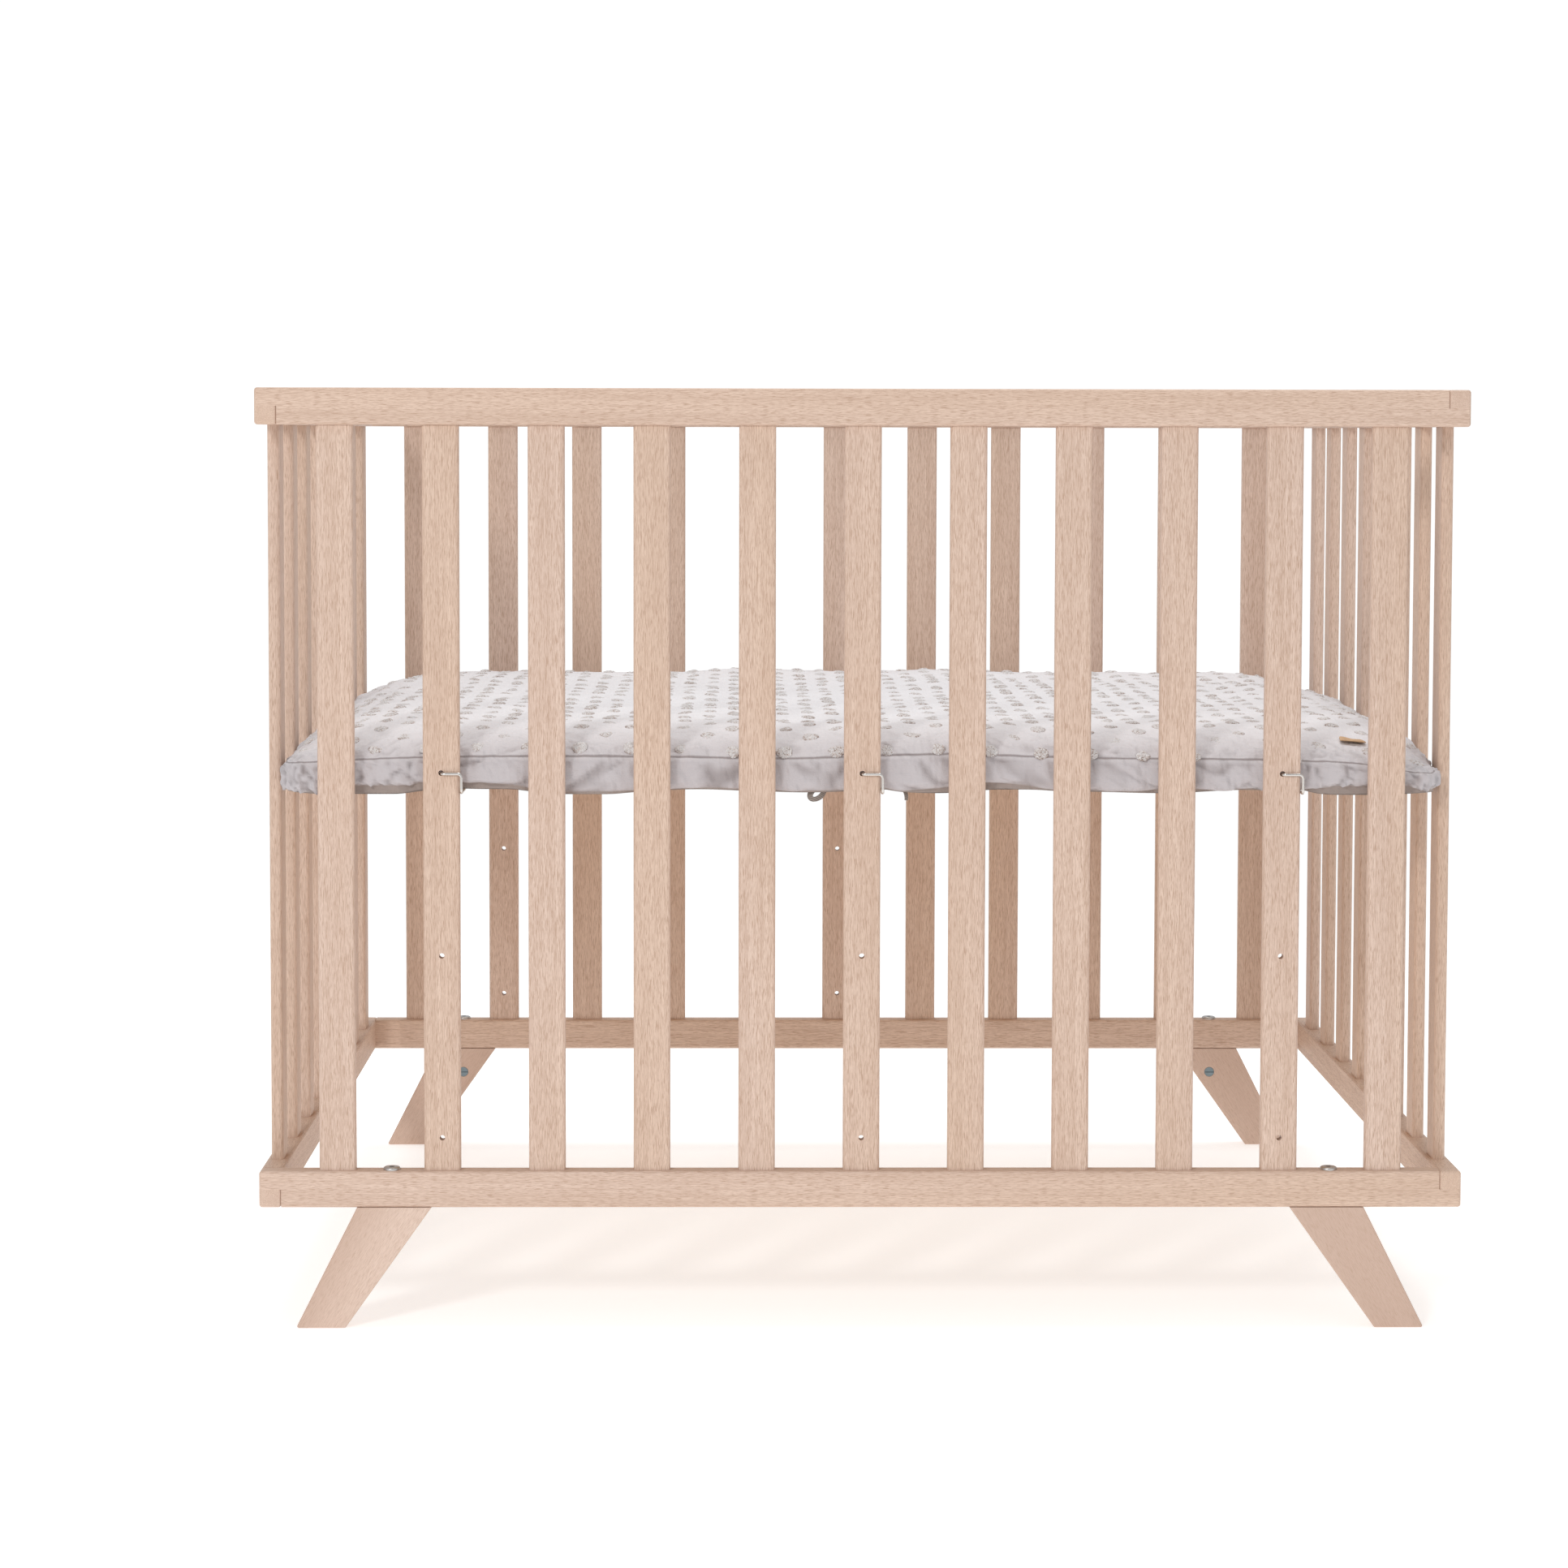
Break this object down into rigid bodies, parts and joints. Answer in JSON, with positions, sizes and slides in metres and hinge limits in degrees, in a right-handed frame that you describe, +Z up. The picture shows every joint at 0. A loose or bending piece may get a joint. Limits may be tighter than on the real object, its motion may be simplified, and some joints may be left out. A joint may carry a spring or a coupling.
{
  "type": "playpen",
  "caption": "Rectangular wooden playpen with slatted sides, splayed legs and a padded floor that hangs on wire hooks at a choice of heights and lifts out.",
  "frame": {"origin": "on the ground under the middle of the pen", "axes": "+X along the long side, -Y towards the front panel, +Z up"},
  "size_m": [0.986, 0.786, 0.77],
  "materials": {
    "beech": "clear matt varnish on beech",
    "dowel_beech": "raw turned beech",
    "plywood": "sanded plywood",
    "nickel_wire": "bright nickel plate on steel wire",
    "zinc_steel": "zinc plate",
    "mat_fabric": "fine grey cotton weave with raised tufts",
    "tie_tape": "woven tape",
    "tag_leather": "blank tan leather"
  },
  "bodies": {
    "frame": {"back_bottom_rail": "beech", "back_leg_1": "beech", "back_leg_2": "beech", "back_slat_01": "beech", "back_slat_02": "beech", "back_slat_03": "beech", "back_slat_04": "beech", "back_slat_05": "beech", "back_slat_06": "beech", "back_slat_07": "beech", "back_slat_08": "beech", "back_slat_09": "beech", "back_slat_10": "beech", "back_slat_11": "beech", "back_top_rail": "beech", "corner_screws": "zinc_steel", "front_bottom_rail": "beech", "front_leg_1": "beech", "front_leg_2": "beech", "front_slat_01": "beech", "front_slat_02": "beech", "front_slat_03": "beech", "front_slat_04": "beech", "front_slat_05": "beech", "front_slat_06": "beech", "front_slat_07": "beech", "front_slat_08": "beech", "front_slat_09": "beech", "front_slat_10": "beech", "front_slat_11": "beech", "front_top_rail": "beech", "left_bottom_rail": "beech", "left_slats": "beech", "left_top_rail": "beech", "leg_barrel_nuts": "zinc_steel", "leg_bolts": "zinc_steel", "leg_dowels": "dowel_beech", "right_bottom_rail": "beech", "right_slats": "beech", "right_top_rail": "beech"},
    "floor": {"floor_board": "plywood", "mat": "mat_fabric", "mat_tag": "tag_leather", "mat_tie_loop": "tie_tape", "mat_tie_end": "tie_tape"},
    "back_hook_1_body": {"back_hook_1": "nickel_wire"},
    "back_hook_2_body": {"back_hook_2": "nickel_wire"},
    "back_hook_3_body": {"back_hook_3": "nickel_wire"},
    "front_hook_1_body": {"front_hook_1": "nickel_wire"},
    "front_hook_2_body": {"front_hook_2": "nickel_wire"},
    "front_hook_3_body": {"front_hook_3": "nickel_wire"}
  },
  "joints": [
    {"name": "floor_lift", "type": "slide", "parent": "frame", "child": "floor", "axis": [0, 0, 1], "range_m": [0, 0.345]},
    {"name": "back_hook_1_pull", "type": "slide", "parent": "frame", "child": "back_hook_1_body", "axis": [0, 1, 0], "range_m": [0, 0.048]},
    {"name": "back_hook_2_pull", "type": "slide", "parent": "frame", "child": "back_hook_2_body", "axis": [0, 1, 0], "range_m": [0, 0.048]},
    {"name": "back_hook_3_pull", "type": "slide", "parent": "frame", "child": "back_hook_3_body", "axis": [0, 1, 0], "range_m": [0, 0.048]},
    {"name": "front_hook_1_pull", "type": "slide", "parent": "frame", "child": "front_hook_1_body", "axis": [0, -1, 0], "range_m": [0, 0.048]},
    {"name": "front_hook_2_pull", "type": "slide", "parent": "frame", "child": "front_hook_2_body", "axis": [0, -1, 0], "range_m": [0, 0.048]},
    {"name": "front_hook_3_pull", "type": "slide", "parent": "frame", "child": "front_hook_3_body", "axis": [0, -1, 0], "range_m": [0, 0.048]}
  ]
}
